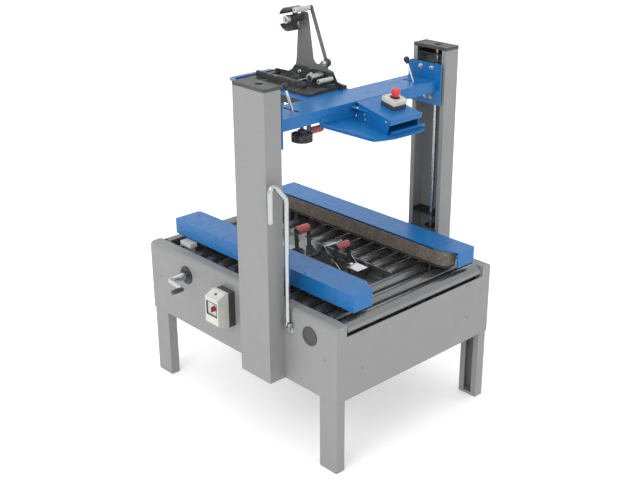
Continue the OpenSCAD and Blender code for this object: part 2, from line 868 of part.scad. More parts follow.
// --- nodes -----------------------------------------------------------------------------------

placed() side_panel();  // left_side_panel
placed() right_side() side_panel();  // right_side_panel
placed() infeed_end_panel();
placed() outfeed_end_panel();
placed() legs();
placed() column();  // left_column
placed() right_side() column();  // right_column
placed() column_caps();
placed() bed_rails();
placed() split_rollers();
placed() guide_rods();
placed() frame_fittings();
placed() switch_base();
placed() switch_cover();
placed() switch_knob();
placed() lead_screw();  // left_lead_screw
placed() right_side() lead_screw();  // right_lead_screw
placed() width_screw();
placed() width_crank();
placed() width_crank_grip();
placed() height_crank();
placed() full_roller(row_y(0));  // infeed_roller_1
placed() full_roller(row_y(1));  // infeed_roller_2
placed() full_roller(row_y(2));  // infeed_roller_3
placed() full_roller(far_row_y);  // outfeed_roller
placed() right_side() belt_cover();  // left_belt_cover
placed() belt_cover();  // right_belt_cover
placed() right_side() belt_carriage();  // left_belt_carriage
placed() belt_carriage();  // right_belt_carriage
placed() right_side() side_belt();  // left_belt
placed() side_belt();  // right_belt
placed() right_side() drive_pulley();  // left_drive_pulley
placed() drive_pulley();  // right_drive_pulley
placed() right_side() idler_pulley();  // left_idler_pulley
placed() idler_pulley();  // right_idler_pulley
placed() crossbeam();
placed() handle_box();
placed() estop_box();
placed() estop_button();
placed() lock_lever(0);  // left_lock_lever
placed() lock_lever(1);  // right_lock_lever
placed() press_wheel(wheel_x[0]);  // left_press_wheel
placed() press_wheel(wheel_x[1]);  // right_press_wheel
placed() top_head_chassis();
placed() reel_arm();
placed() tape_mandrel();
placed() plain_roller(guide_axis, 9.5, 4, 34, "#e4e4e2");  // reel_guide_roller
placed() tube_roller();
placed() plain_roller(tension_axis, 8, 3.5, 32, "#e4e4e2");  // tension_roller
placed() as_top() tape_arm(0);  // top_front_arm
placed() as_top() tape_roller(0, front_roller_r);  // top_front_roller
placed() as_top() tape_arm(rear_y);  // top_rear_arm
placed() as_top() tape_roller(rear_y, rear_roller_r);  // top_rear_roller
placed() as_top() cutter();  // top_cutter
placed() bottom_head_chassis();
placed() as_bottom() tape_arm(0);  // bottom_front_arm
placed() as_bottom() tape_roller(0, front_roller_r);  // bottom_front_roller
placed() as_bottom() tape_arm(rear_y);  // bottom_rear_arm
placed() as_bottom() tape_roller(rear_y, rear_roller_r);  // bottom_rear_roller
placed() as_bottom() cutter();  // bottom_cutter
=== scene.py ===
"""Looks for the carton sealer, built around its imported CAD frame."""

import math

import bmesh
import bpy
from mathutils import Matrix, Quaternion, Vector


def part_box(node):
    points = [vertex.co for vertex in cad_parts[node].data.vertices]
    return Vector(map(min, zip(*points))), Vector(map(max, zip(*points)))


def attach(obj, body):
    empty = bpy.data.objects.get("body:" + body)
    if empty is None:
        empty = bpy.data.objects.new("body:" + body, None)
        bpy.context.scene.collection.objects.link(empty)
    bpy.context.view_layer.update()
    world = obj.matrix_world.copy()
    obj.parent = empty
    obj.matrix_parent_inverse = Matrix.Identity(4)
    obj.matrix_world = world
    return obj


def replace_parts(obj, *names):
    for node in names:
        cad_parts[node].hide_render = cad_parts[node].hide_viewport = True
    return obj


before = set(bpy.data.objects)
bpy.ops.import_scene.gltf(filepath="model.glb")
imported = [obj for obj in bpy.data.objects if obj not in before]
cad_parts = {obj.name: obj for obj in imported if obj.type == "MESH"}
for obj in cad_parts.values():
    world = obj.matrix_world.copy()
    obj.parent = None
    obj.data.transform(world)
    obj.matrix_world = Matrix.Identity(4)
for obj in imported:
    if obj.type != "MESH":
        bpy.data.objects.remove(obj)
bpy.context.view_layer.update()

# --- driving dimensions, in millimetres about the machine's own centre plane -------------------

panel_low, panel_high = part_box("infeed_end_panel")
CENTRE_X = (panel_low[0] + panel_high[0]) / 2
HALF_W = (panel_high[0] - panel_low[0]) * 500
HALF_L = -panel_low[1] * 1000
DECK = panel_high[2] * 1000
BEAM_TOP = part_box("crossbeam")[1][2] * 1000 - 60
BEAM_FRONT = -233
BOX_TILT = math.radians(12)
LEAD_SCREW = (HALF_W + 31, -195)        # its axis in x and y, on the right
COLUMN_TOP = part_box("left_column")[1][2] * 1000
WIDTH_SCREW = (286, 476)                # its axis in y and z
CRANK_HINGE = (-HALF_W - 11, 490)       # the height crank's hinge in x and z
CRANK_Y = -290
BELT_X = 222                            # the belt pulleys' centres on the right
BELT_ENDS = (-425, 388)
BELT_BEND = 42                          # radius of the belt's path round a pulley
BELT_BOTTOM = 575
COVER_TOP = 630
TOP_HEAD = (3, BEAM_TOP - 154)          # front tape roller's centre in y and z
BOTTOM_HEAD = (-139, DECK + 68)
ROLLER_GAP = 215                        # between a head's front and rear tape rollers
REEL = (108, BEAM_TOP + 225)            # the mandrel's axis in y and z
LEVERS = ((-260, -183, "left_lock_lever"), (307, -193, "right_lock_lever"))     # pivots in x and y
LEVER_Z = BEAM_TOP - 28
SIDES = ((-1, "left"), (1, "right"))
X = Vector((1, 0, 0))
Y = Vector((0, 1, 0))
Z = Vector((0, 0, 1))


def at(x, y, z):
    """A point given in millimetres about the machine's centre plane."""
    return Vector((x / 1000 + CENTRE_X, y / 1000, z / 1000))


def on_slope(x, y, z):
    """A point on the handle box, whose top face slopes forwards from the beam's front edge."""
    tilted = Matrix.Rotation(BOX_TILT, 3, "X") @ Vector((0, y, z))
    return at(x, BEAM_FRONT + tilted.y, BEAM_TOP + tilted.z)


# --- materials ---------------------------------------------------------------------------------


class Nodes:
    """Short way to build a procedural material."""

    def __init__(self, name):
        self.material = bpy.data.materials.new(name)
        self.material.use_nodes = True
        self.tree = self.material.node_tree
        self.shader = self.tree.nodes["Principled BSDF"]
        self.place = self.add("ShaderNodeTexCoord").outputs["Object"]

    def add(self, kind, **settings):
        made = self.tree.nodes.new(kind)
        for key, value in settings.items():
            setattr(made, key, value)
        return made

    def link(self, source, target):
        self.tree.links.new(source, target)

    def noise(self, scale, detail=4.0, stretch=(1, 1, 1)):
        mapping = self.add("ShaderNodeMapping")
        mapping.inputs["Scale"].default_value = stretch
        self.link(self.place, mapping.inputs["Vector"])
        made = self.add("ShaderNodeTexNoise")
        made.inputs["Scale"].default_value = scale
        made.inputs["Detail"].default_value = detail
        self.link(mapping.outputs["Vector"], made.inputs["Vector"])
        return made.outputs["Fac"]

    def ramp(self, source, low, high, start=0.0, end=1.0):
        """Turns a 0 to 1 value into one between two others, over a stretch of it."""
        made = self.add("ShaderNodeMapRange")
        made.inputs["From Min"].default_value = start
        made.inputs["From Max"].default_value = end
        made.inputs["To Min"].default_value = low
        made.inputs["To Max"].default_value = high
        self.link(source, made.inputs["Value"])
        return made.outputs["Result"]

    def mix(self, factor, first, second):
        """Mixes two colours, each given as a value or as another node's output."""
        made = self.add("ShaderNodeMix", data_type="RGBA")
        self.link(factor, made.inputs["Factor"])
        for socket, value in ((made.inputs["A"], first), (made.inputs["B"], second)):
            if isinstance(value, tuple):
                socket.default_value = (*value, 1)
            else:
                self.link(value, socket)
        return made.outputs["Result"]

    def math(self, operation, first, second):
        made = self.add("ShaderNodeMath", operation=operation)
        for socket, value in zip(made.inputs, (first, second)):
            if isinstance(value, (int, float)):
                socket.default_value = value
            else:
                self.link(value, socket)
        return made.outputs[0]

    def edges(self, radius, width=0.35):
        """1 along the edges of the shape, 0 on its faces."""
        bevel = self.add("ShaderNodeBevel", samples=4)
        bevel.inputs["Radius"].default_value = radius
        geometry = self.add("ShaderNodeNewGeometry")
        dot = self.add("ShaderNodeVectorMath", operation="DOT_PRODUCT")
        self.link(bevel.outputs["Normal"], dot.inputs[0])
        self.link(geometry.outputs["Normal"], dot.inputs[1])
        return self.ramp(dot.outputs["Value"], 1.0, 0.0, 1.0 - width, 0.99)

    def bump(self, height, strength, distance):
        made = self.add("ShaderNodeBump")
        made.inputs["Strength"].default_value = strength
        made.inputs["Distance"].default_value = distance
        self.link(height, made.inputs["Height"])
        self.link(made.outputs["Normal"], self.shader.inputs["Normal"])

    def set(self, **values):
        for key, value in values.items():
            self.shader.inputs[key.replace("_", " ")].default_value = value
        return self


def shade(colour, factor):
    """A colour made lighter or darker."""
    return tuple(min(1.0, c * factor) for c in colour)


def beam_fittings(n):
    """1 on the crossbeam's nut blocks in the columns and on the wheel studs below it, 0 elsewhere."""
    axes = n.add("ShaderNodeSeparateXYZ")
    n.link(n.place, axes.inputs[0])
    off_centre = n.math("ABSOLUTE", n.math("SUBTRACT", axes.outputs["X"], CENTRE_X), 0)
    outside = n.math("GREATER_THAN", off_centre, (HALF_W - 8.8) / 1000)
    below = n.math("LESS_THAN", axes.outputs["Z"], (BEAM_TOP - 40.5) / 1000)
    between = n.math("LESS_THAN", off_centre, (HALF_W - 15.2) / 1000)
    return n.math("MAXIMUM", outside, n.math("MULTIPLY", below, between))


def painted(name, colour, rough, coat=0.0, peel=0.1, dust=0.12, fitting=None):
    """Powder coat: orange-peel bump, faint mottling, rubbed-in dust, and edges worn lighter.

    fitting is a second colour, for the blocks and studs that are screwed to the crossbeam.
    """
    n = Nodes(name)
    mottled = n.mix(n.ramp(n.noise(7), 0, 1, 0.3, 0.7), shade(colour, 0.98), shade(colour, 1.02))
    speckled = n.mix(n.ramp(n.noise(420, 2), 0, 0.5, 0.45, 0.75), mottled, shade(colour, 1.08))
    scuffs = n.ramp(n.noise(38, 8, (1, 1, 3)), 0, dust, 0.56, 0.72)
    dusty = n.mix(scuffs, speckled, (0.55, 0.55, 0.53))
    worn = n.math("MULTIPLY", n.edges(0.0012), n.ramp(n.noise(60, 6), 0.05, 0.6, 0.45, 0.7))
    painted_over = n.mix(worn, dusty, shade(colour, 1.7))
    if fitting:
        painted_over = n.mix(beam_fittings(n), painted_over, n.mix(n.noise(50), fitting, shade(fitting, 1.6)))
    n.link(painted_over, n.shader.inputs["Base Color"])
    n.link(n.ramp(n.noise(30, 6), rough - 0.07, rough + 0.1, 0.3, 0.7), n.shader.inputs["Roughness"])
    n.bump(n.noise(700, 2), peel, 0.0004)
    return n.set(Coat_Weight=coat, Coat_Roughness=0.12, Specular_IOR_Level=0.35).material


def metal(name, colour, rough, grain=(1, 1, 1), grain_bump=0.12, stain=0.2, metallic=1.0):
    """Bare metal: drawn or turned grain, uneven polish, faint stains and brighter edges."""
    n = Nodes(name)
    lines = n.noise(260, 6, grain)
    stains = n.ramp(n.noise(22, 6), 0, stain, 0.5, 0.75)
    tinted = n.mix(stains, colour, shade(colour, 0.55))
    brushed = n.mix(n.ramp(lines, 0, 0.5, 0.35, 0.7), tinted, shade(colour, 0.8))
    n.link(n.mix(n.edges(0.0008), brushed, shade(colour, 1.2)), n.shader.inputs["Base Color"])
    n.link(n.ramp(lines, rough - 0.05, rough + 0.12, 0.3, 0.7), n.shader.inputs["Roughness"])
    n.bump(lines, grain_bump, 0.0003)
    return n.set(Metallic=metallic).material


def rubber(name, colour, rough=0.6, dust=0.3):
    """Moulded rubber: fine pebble, rubbed-in dust, and paler edges."""
    n = Nodes(name)
    mottled = n.mix(n.ramp(n.noise(40, 6), 0, 1, 0.35, 0.65), shade(colour, 0.85), shade(colour, 1.2))
    dusty = n.mix(n.ramp(n.noise(90, 8), 0, dust, 0.52, 0.7), mottled, (0.4, 0.38, 0.36))
    n.link(n.mix(n.edges(0.0008), dusty, shade(colour, 1.8)), n.shader.inputs["Base Color"])
    n.link(n.ramp(n.noise(120, 4), rough - 0.1, rough + 0.15, 0.3, 0.7), n.shader.inputs["Roughness"])
    n.bump(n.noise(900, 3), 0.25, 0.0004)
    return n.material


def plastic(name, colour, rough=0.35, grain=0.12):
    """Moulded plastic: fine spark-eroded grain, handling shine and slightly paler edges."""
    n = Nodes(name)
    mottled = n.mix(n.ramp(n.noise(24, 5), 0, 1, 0.35, 0.65), shade(colour, 0.95), shade(colour, 1.04))
    grime = n.mix(n.ramp(n.noise(70, 8), 0, 0.18, 0.55, 0.75), mottled, shade(colour, 0.6))
    n.link(n.mix(n.edges(0.001), grime, shade(colour, 1.25)), n.shader.inputs["Base Color"])
    n.link(n.ramp(n.noise(45, 6), rough - 0.08, rough + 0.12, 0.3, 0.7), n.shader.inputs["Roughness"])
    n.bump(n.noise(1100, 2), grain, 0.0003)
    return n.material


ENAMEL = (0.006, 0.135, 0.38)
GREY = painted("grey_powder_coat", (0.252, 0.256, 0.253), 0.45, dust=0.04)
GREY_ARM = painted("grey_arm_coat", (0.13, 0.13, 0.13), 0.5)
CAP = painted("column_cap_coat", (0.055, 0.056, 0.058), 0.45)
DARK = painted("dark_powder_coat", (0.035, 0.036, 0.038), 0.42, dust=0.2)
BLUE = painted("blue_enamel", ENAMEL, 0.33, coat=0.06, peel=0.06, dust=0.03)
BLUE_BEAM = painted("blue_beam_enamel", ENAMEL, 0.33, 0.06, 0.06, 0.03, (0.03, 0.031, 0.034))
STEEL = metal("zinc_steel", (0.50, 0.51, 0.52), 0.34)
ROLLER = metal("roller_tube", (0.23, 0.234, 0.24), 0.22, (0.06, 1, 1), metallic=0.85)
RAIL = metal("bright_strip", (0.62, 0.63, 0.64), 0.3, (1, 0.06, 1))
CHROME = metal("chrome_plate", (0.50, 0.51, 0.52), 0.16, stain=0.3, grain_bump=0.03)
MIRROR = metal("polished_plate", (0.68, 0.68, 0.69), 0.16, stain=0.2, grain_bump=0.03)
SCREW = metal("screw_steel", (0.66, 0.67, 0.68), 0.25, (1, 1, 0.2))
BLACKENED = metal("blackened_steel", (0.07, 0.07, 0.075), 0.4)
RED_RUBBER = rubber("red_roller_rubber", (0.40, 0.085, 0.09), 0.42, 0.08)
BLACK_RUBBER = rubber("black_rubber", (0.02, 0.02, 0.021))
BELT = rubber("belt_rubber", (0.13, 0.105, 0.085), 0.7)
BLACK_PLASTIC = plastic("black_plastic", (0.018, 0.018, 0.02), 0.25)
DARK_PLASTIC = plastic("dark_grey_plastic", (0.05, 0.05, 0.055), 0.45)
CREAM = plastic("cream_plastic", (0.56, 0.56, 0.51), 0.4)
RED_PLASTIC = plastic("red_plastic", (0.62, 0.03, 0.045), 0.22, 0.04)
DARK_RED = plastic("dark_red_plastic", (0.26, 0.02, 0.03), 0.3, 0.06)
WHITE_PLASTIC = plastic("white_nylon", (0.50, 0.50, 0.49), 0.35)


# --- mesh helpers ------------------------------------------------------------------------------


def finished(name, mesh_data, material, body, smooth=40, bevel=0.0):
    """Makes an object of a bmesh, gives it its look and puts it on its body."""
    mesh = bpy.data.meshes.new(name)
    bmesh.ops.recalc_face_normals(mesh_data, faces=mesh_data.faces)
    mesh_data.to_mesh(mesh)
    mesh_data.free()
    obj = bpy.data.objects.new(name, mesh)
    bpy.context.scene.collection.objects.link(obj)
    mesh.materials.append(material)
    if bevel:
        edge = obj.modifiers.new("bevel", "BEVEL")
        edge.width = bevel / 1000
        edge.segments = 3
        edge.limit_method = "ANGLE"
        edge.angle_limit = math.radians(35)
    mesh.set_sharp_from_angle(angle=math.radians(smooth))
    for face in mesh.polygons:
        face.use_smooth = True
    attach(obj, body)
    return obj


def aimed(origin, axis):
    """A frame at a point whose own Z runs along an axis."""
    return Matrix.Translation(origin) @ Vector(axis).normalized().to_track_quat("Z", "Y").to_matrix().to_4x4()


def add_lathe(bm, place, profile, steps=48):
    """Turns a profile of (radius, height) pairs in millimetres about the place's Z."""
    rings = []
    for radius, height in profile:
        if radius < 0.001:
            rings.append([bm.verts.new(place @ Vector((0, 0, height / 1000)))])
            continue
        ring = []
        for step in range(steps):
            turn = 2 * math.pi * step / steps
            point = Vector((radius * math.cos(turn), radius * math.sin(turn), height)) / 1000
            ring.append(bm.verts.new(place @ point))
        rings.append(ring)
    for low, high in zip(rings, rings[1:]):
        for step in range(steps):
            after = (step + 1) % steps
            corners = [low[step % len(low)], low[after % len(low)],
                       high[after % len(high)], high[step % len(high)]]
            unique = list(dict.fromkeys(corners))
            if len(unique) > 2:
                bm.faces.new(unique)


def add_box(bm, low, high, place=None):
    """A box between two corners in millimetres, in a place's own frame if one is given."""
    def corner(i, j, k):
        point = Vector(((low, high)[i][0], (low, high)[j][1], (low, high)[k][2]))
        return bm.verts.new(place @ (point / 1000) if place else at(*point))
    v = {(i, j, k): corner(i, j, k) for i in (0, 1) for j in (0, 1) for k in (0, 1)}
    for axis in range(3):
        for side in (0, 1):
            loop = []
            for a, b in ((0, 0), (0, 1), (1, 1), (1, 0)):
                key = [a, b]
                key.insert(axis, side)
                loop.append(v[tuple(key)])
            bm.faces.new(loop)


def add_prism(bm, place, outline, depth):
    """Extrudes an outline of (x, y) pairs in millimetres along the place's Z."""
    layers = [[bm.verts.new(place @ (Vector((x, y, z)) / 1000)) for x, y in outline] for z in (0, depth)]
    bm.faces.new(layers[0])
    bm.faces.new(layers[1])
    count = len(outline)
    for i in range(count):
        j = (i + 1) % count
        bm.faces.new([layers[0][i], layers[0][j], layers[1][j], layers[1][i]])


def arc(centre, radius, start, end, steps=8):
    """Points of an arc, with its angles in degrees."""
    turns = [math.radians(start + (end - start) * i / steps) for i in range(steps + 1)]
    return [(centre[0] + radius * math.cos(t), centre[1] + radius * math.sin(t)) for t in turns]


def hexagon(radius):
    """A hexagon's corners, given the radius they lie on."""
    return arc((0, 0), radius, 0, 300, 5)


def add_cap_screw(bm, origin, axis, radius=4.5, height=3.2):
    """Button-head screw with a hexagon socket, on a washer."""
    place = aimed(origin, axis)
    socket = radius * 0.42
    add_lathe(bm, place, [(0, 0), (radius * 1.45, 0), (radius * 1.45, 0.7), (radius * 1.02, 0.9),
                          (radius, height * 0.5), (radius * 0.8, height * 0.9), (socket * 1.1, height)], 24)
    add_lathe(bm, place, [(socket * 1.1, height), (socket, height * 0.95), (socket, height * 0.35),
                          (0, height * 0.3)], 6)


def add_hex_bolt(bm, origin, axis, radius=5.0, height=4.0):
    """Hexagon head with a chamfered top, on a washer."""
    place = aimed(origin, axis)
    add_lathe(bm, place, [(0, 0), (radius * 1.4, 0), (radius * 1.4, 0.8), (0, 0.8)], 24)
    add_prism(bm, place @ Matrix.Translation((0, 0, 0.0008)), hexagon(radius), height - 0.8)
    add_lathe(bm, place, [(radius * 0.9, height - 0.05), (radius * 0.8, height + 0.4), (0, height + 0.4)], 24)


def tube(name, points, radius, material, body):
    """Round bar or tube along points given as vectors."""
    curve = bpy.data.curves.new(name, "CURVE")
    curve.dimensions = "3D"
    curve.bevel_depth = radius / 1000
    curve.bevel_resolution = 5
    curve.use_fill_caps = True
    spline = curve.splines.new("POLY")
    spline.points.add(len(points) - 1)
    for point, place in zip(spline.points, points):
        point.co = (*place, 1)
    obj = bpy.data.objects.new(name, curve)
    bpy.context.scene.collection.objects.link(obj)
    curve.materials.append(material)
    spline.use_smooth = True
    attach(obj, body)
    return obj


def look(node, material, bevel=0.0):
    """Gives a carried-over CAD node its material, and softens its edges where that suits it."""
    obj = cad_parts[node]
    obj.data.materials.clear()
    obj.data.materials.append(material)
    if bevel:
        weld = obj.modifiers.new("weld", "WELD")
        weld.merge_threshold = 0.00002
        edge = obj.modifiers.new("bevel", "BEVEL")
        edge.width = bevel / 1000
        edge.segments = 2
        edge.limit_method = "ANGLE"
        edge.angle_limit = math.radians(50)
        edge.use_clamp_overlap = True
        edge.harden_normals = True


# --- looks of the carried-over CAD nodes -------------------------------------------------------

NODES_OF_LOOK = (
    (GREY, "left_side_panel", "right_side_panel", "infeed_end_panel", "outfeed_end_panel", "legs",
     "left_column", "right_column"),
    (DARK, "top_head_chassis", "bottom_head_chassis", "left_belt_carriage", "right_belt_carriage",
     "top_front_arm", "top_rear_arm", "bottom_front_arm", "bottom_rear_arm", "tape_mandrel"),
    (BLUE, "left_belt_cover", "right_belt_cover", "handle_box"),
    (BLUE_BEAM, "crossbeam"),
    (CAP, "column_caps"),
    (ROLLER, "split_rollers", "infeed_roller_1", "infeed_roller_2", "infeed_roller_3", "outfeed_roller"),
    (BLACKENED, "guide_rods"),
    (STEEL, "width_screw", "left_drive_pulley", "right_drive_pulley", "left_idler_pulley",
     "right_idler_pulley", "tube_roller"),
    (RED_RUBBER, "top_front_roller", "top_rear_roller", "bottom_front_roller", "bottom_rear_roller"),
    (CHROME, "width_crank", "top_cutter", "bottom_cutter"),
    (RAIL, "bed_rails"),
    (GREY_ARM, "reel_arm"),
    (WHITE_PLASTIC, "reel_guide_roller", "tension_roller"),
    (DARK_PLASTIC, "switch_base"),
)
for material, *nodes in NODES_OF_LOOK:
    for node in nodes:
        look(node, material)
look("switch_cover", CREAM, 3.0)

# --- fittings of the frame ---------------------------------------------------------------------


def screw_row(name, places, axis, body, material=SCREW, radius=4.5):
    """Button-head screws at points given in millimetres."""
    bm = bmesh.new()
    for place in places:
        add_cap_screw(bm, at(*place), axis, radius, radius * 0.7)
    return finished(name, bm, material, body)


def bolt_row(name, places, axis, body, material=STEEL, radius=6.0):
    """Hexagon bolts at points given in millimetres."""
    bm = bmesh.new()
    for place in places:
        add_hex_bolt(bm, at(*place), axis, radius, radius * 0.8)
    return finished(name, bm, material, body)


def build_plug_and_flange():
    """Blanking plug and the width crank's bearing flange on the left panel."""
    plug = bmesh.new()
    add_lathe(plug, aimed(at(-HALF_W, -384, WIDTH_SCREW[1]), -X),
              [(0, 0), (33.5, 0), (33.5, 2.6), (32, 4), (27, 4), (25.5, 2), (8, 1.6), (0, 1.6)])
    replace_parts(finished("blanking_plug", plug, DARK_PLASTIC, "frame"), "frame_fittings")
    flange = bmesh.new()
    add_lathe(flange, aimed(at(-HALF_W, *WIDTH_SCREW), -X),
              [(10.2, 0), (34, 0), (34, 3.4), (32.5, 4.8), (17, 5), (15, 7), (10.2, 7), (10.2, 0)])
    finished("crank_flange", flange, BLACKENED, "frame")
    y, z = WIDTH_SCREW
    circle = [(-HALF_W - 4.8, y + 24 * math.cos(t), z + 24 * math.sin(t)) for t in (0.5, 2.6, 4.7)]
    screw_row("crank_flange_screws", circle, -X, "frame", BLACKENED, 3)


def build_width_crank():
    """Sleeve on the screw's end, and the turned grip with its end cap."""
    sleeve = bmesh.new()
    add_lathe(sleeve, aimed(at(-HALF_W - 8, *WIDTH_SCREW), -X),
              [(10.1, 0), (15, 0), (15, 22), (13.5, 26), (12.5, 56), (11.5, 58), (10.1, 58)])
    finished("width_crank_sleeve", sleeve, CHROME, "width_screw")
    grip = bmesh.new()
    add_lathe(grip, aimed(at(-HALF_W - 75.5, 212, 468), -X),
              [(4, -6), (4, 0), (8.2, 0), (9, 2), (9, 4), (8, 6), (9.4, 14), (9.5, 26), (9, 36),
               (7.4, 40), (7.4, 42), (9, 43), (8.6, 44.4), (0, 44.4)])
    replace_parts(finished("width_crank_grip_turned", grip, DARK_PLASTIC, "width_crank_grip"),
                "width_crank_grip")


def build_crank_fork():
    """Fork that the height crank hinges on, on its round boss."""
    boss = bmesh.new()
    add_lathe(boss, aimed(at(-HALF_W, CRANK_Y, 466), -X),
              [(0, 0), (15, 0), (15, 2), (13, 3.5), (12.4, 9), (11.4, 10), (0, 10)])
    finished("crank_fork_boss", boss, STEEL, "frame")
    fork = bmesh.new()
    add_box(fork, (-HALF_W - 18, CRANK_Y - 13, 466), (-HALF_W - 10, CRANK_Y + 13, 479))
    for cheek in (CRANK_Y - 13, CRANK_Y + 5.2):
        add_box(fork, (-HALF_W - 18, cheek, 478), (-HALF_W - 4, cheek + 7.8, 496))
    finished("crank_fork", fork, STEEL, "frame", bevel=0.8)
    pin = bmesh.new()
    add_lathe(pin, aimed(at(CRANK_HINGE[0], CRANK_Y - 15, CRANK_HINGE[1]), Y),
              [(0, 0), (5.4, 0), (6, 0.6), (6, 2), (3.9, 2),
               (3.9, 28), (6, 28), (6, 29.4), (5.4, 30), (0, 30)], 24)
    finished("crank_fork_pin", pin, SCREW, "frame")


def build_panel_screws():
    """Low button heads in the panels' own colour, in pairs near each leg."""
    near = [(x, -HALF_L, z) for x in (-269, 269) for z in (DECK - 54, DECK - 181)]
    screw_row("infeed_panel_screws", near, -Y, "frame", GREY, 3.5)
    screw_row("outfeed_panel_screws", [(x, HALF_L, z) for x, _, z in near], Y, "frame", GREY, 3.5)
    beside = [(-HALF_W, y, DECK - 130) for y in (-455, -250, 350, 455)]
    screw_row("left_panel_screws", beside, -X, "frame", GREY, 3.5)
    screw_row("right_panel_screws", [(HALF_W, y, z) for _, y, z in beside], X, "frame", GREY, 3.5)


def rounded_path(corners, reach, steps=7):
    """A polyline's points with each inner corner turned into a smooth bend."""
    points = [corners[0]]
    for before, corner, after in zip(corners, corners[1:], corners[2:]):
        first = corner + (before - corner).normalized() * min(reach, (before - corner).length * 0.49)
        last = corner + (after - corner).normalized() * min(reach, (after - corner).length * 0.49)
        for i in range(steps + 1):
            t = i / steps
            points.append(first * (1 - t) ** 2 + corner * 2 * t * (1 - t) + last * t ** 2)
    return points + [corners[-1]]


def build_height_crank():
    """Bent tube with a flattened eye at its foot and a plug in its open end."""
    foot_x, foot_z = CRANK_HINGE
    bends = [(0, 9.5), (0, 438), (-45, 492), (-58, 495), (-66, 480), (-66, 376)]
    corners = [at(foot_x + x, CRANK_Y, foot_z + z) for x, z in bends]
    bar = tube("height_crank_tube", rounded_path(corners, 0.012), 8.2, CHROME, "height_crank")
    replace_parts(bar, "height_crank")
    eye = bmesh.new()
    add_lathe(eye, aimed(at(foot_x, CRANK_Y - 3.7, foot_z), Y),
              [(4.1, 0), (9.8, 0), (10.6, 1), (10.6, 6.4), (9.8, 7.4), (4.1, 7.4), (4.1, 0)], 32)
    finished("height_crank_eye", eye, CHROME, "height_crank")
    end = bmesh.new()
    add_lathe(end, aimed(at(foot_x - 66, CRANK_Y, foot_z + 380), -Z),
              [(8.2, -3), (8.6, -2), (8.6, 4), (7.6, 6), (5, 6), (4.6, 3), (0, 3)], 32)
    finished("height_crank_end", end, STEEL, "height_crank")


def build_lead_screw(side, name):
    """Screw with a trapezoidal thread, its plain ends, and the toothed wheel at its foot."""
    place = Matrix.Translation(at(side * LEAD_SCREW[0], LEAD_SCREW[1], 0))
    profile = [(0, 580), (7.4, 580), (8, 581), (8, 655)]
    for turn in range(150):
        z = 656 + 4 * turn
        profile += [(6.6, z), (6.6, z + 1.2), (8, z + 2), (8, z + 3.2)]
    profile += [(8, 1258), (8, COLUMN_TOP - 3), (7, COLUMN_TOP - 2), (0, COLUMN_TOP - 2)]
    shaft = bmesh.new()
    add_lathe(shaft, place, profile, 20)
    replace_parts(finished(f"{name}_thread", shaft, SCREW, name, smooth=30), name)
    teeth = []
    for tooth in range(17):
        for offset, radius in ((-0.3, 21), (-0.12, 24.4), (0.12, 24.4), (0.3, 21)):
            turn = 2 * math.pi * (tooth + offset) / 17
            teeth.append((radius * math.cos(turn), radius * math.sin(turn)))
    wheel = bmesh.new()
    add_prism(wheel, place @ Matrix.Translation((0, 0, 0.591)), teeth, 6)
    add_lathe(wheel, place, [(7.9, 586), (13, 586), (13, 591), (7.9, 591), (7.9, 586)], 24)
    finished(f"{name}_sprocket", wheel, BLACKENED, name, bevel=0.5)


def build_roller_ends():
    """Dark bearing covers in the ends of the full-width rollers."""
    for roller in ("infeed_roller_1", "infeed_roller_2", "infeed_roller_3", "outfeed_roller"):
        low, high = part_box(roller)
        ends = bmesh.new()
        for side in (-1, 1):
            origin = (low + high) / 2 + side * (HALF_W - 53.2) / 1000 * X
            add_lathe(ends, aimed(origin, side * X),
                      [(6.1, 0), (23, 0), (22.4, 0.8), (9, 0.9), (8, 1.6), (6.1, 1.6), (6.1, 0)], 40)
        finished(f"{roller}_ends", ends, BLACKENED, roller)


# --- switch ------------------------------------------------------------------------------------


def build_switch_details():
    """Window with its dark frame and pale plate, the small knob, and the latch on the cover's slope."""
    face = -HALF_W - 77
    frame_lines = bmesh.new()
    for low, high in (((9, 423), (69, 426)), ((9, 474), (69, 477)),
                      ((9, 426), (12, 474)), ((66, 426), (69, 474))):
        add_box(frame_lines, (face - 0.6, *low), (face + 5, *high))
    finished("switch_window_frame", frame_lines, DARK_PLASTIC, "frame", bevel=0.4)
    plate = bmesh.new()
    add_box(plate, (face + 4.2, 12, 426), (face + 5.4, 66, 474))
    finished("switch_window_plate", plate, WHITE_PLASTIC, "frame", bevel=0.3)
    latch = bmesh.new()
    cover_slope = Vector((-0.44, 0, 0.9))
    add_prism(latch, aimed(at(-HALF_W - 57, 38, 501), cover_slope), arc((0, 0), 5, 0, 360, 15)[:-1], 1.6)
    finished("switch_latch", latch, DARK_PLASTIC, "frame", bevel=0.4)
    knob = bmesh.new()
    add_lathe(knob, aimed(at(face - 5, 27, 455), X),
              [(0, 0), (8, 0), (9, 1), (9, 6), (10.5, 7), (10.5, 9.3), (0, 9.3)], 40)
    add_box(knob, (face - 11.5, 24.6, 445.5), (face - 4, 29.4, 464.5))
    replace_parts(finished("switch_dial_knob", knob, DARK_RED, "switch_knob", bevel=0.8),
                "switch_knob")


# --- side belts --------------------------------------------------------------------------------


def belt_point(radius, offset):
    """A point of the belt's outline from the pulleys' centre line, at a distance along its path."""
    near, far = BELT_ENDS
    straight = far - near
    bend = math.pi * BELT_BEND
    offset %= 2 * (straight + bend)
    if offset < straight:
        return Vector((radius, near + offset))
    if offset < straight + bend:
        turn = (offset - straight) / BELT_BEND
        return Vector((radius * math.cos(turn), far + radius * math.sin(turn)))
    if offset < 2 * straight + bend:
        return Vector((-radius, far - (offset - straight - bend)))
    turn = math.pi + (offset - 2 * straight - bend) / BELT_BEND
    return Vector((radius * math.cos(turn), near + radius * math.sin(turn)))


